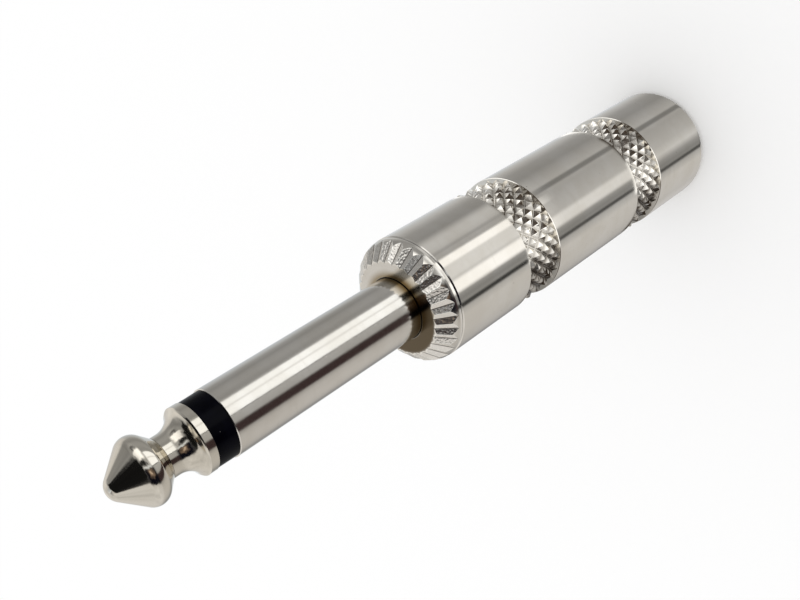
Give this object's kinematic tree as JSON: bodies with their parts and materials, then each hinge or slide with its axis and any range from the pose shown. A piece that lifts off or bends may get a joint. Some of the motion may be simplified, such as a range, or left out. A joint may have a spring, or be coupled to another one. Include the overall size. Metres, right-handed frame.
{
  "type": "mono jack plug",
  "caption": "Mono jack plug with a ball tip, black insulating ring, plated sleeve, grooved collar and a knurled screw-on barrel with a cable hole.",
  "frame": {"origin": "centre of the barrel's rear face, on which the plug stands", "axes": "+Z along the plug's axis towards the tip; the sleeve terminal's strip is on the -Y side and the tip terminal on the +Y side"},
  "size_m": [0.0134, 0.0134, 0.0776],
  "materials": {
    "nickel": "satin nickel plating on turned brass",
    "black_plastic": "moulded, glossy",
    "brown_fibre": "turned laminate",
    "tinned_brass": "tinned sheet",
    "liner_card": "thin wound tube"
  },
  "bodies": {
    "barrel": {"barrel": "nickel"},
    "liner": {"barrel_liner": "liner_card"},
    "plug": {"tip_contact": "nickel", "front_insulator": "black_plastic", "insulating_tube": "brown_fibre", "sleeve": "nickel", "collar": "nickel", "sleeve_terminal": "tinned_brass", "rear_insulator": "brown_fibre", "tip_terminal": "tinned_brass", "rod_washer": "tinned_brass"}
  },
  "joints": [
    {"name": "plug_turn", "type": "hinge", "parent": "barrel", "child": "liner", "pos_m": [0, 0, 0.02], "axis": [0, 0, 1], "range_deg": [0, 2880]},
    {"name": "plug_travel", "type": "slide", "parent": "liner", "child": "plug", "axis": [0, 0, 1], "range_m": [0, 0.006]}
  ],
  "couplings": [
    {"joint": "plug_travel", "follows": "plug_turn", "m_per_rad": 0.00011937}
  ]
}
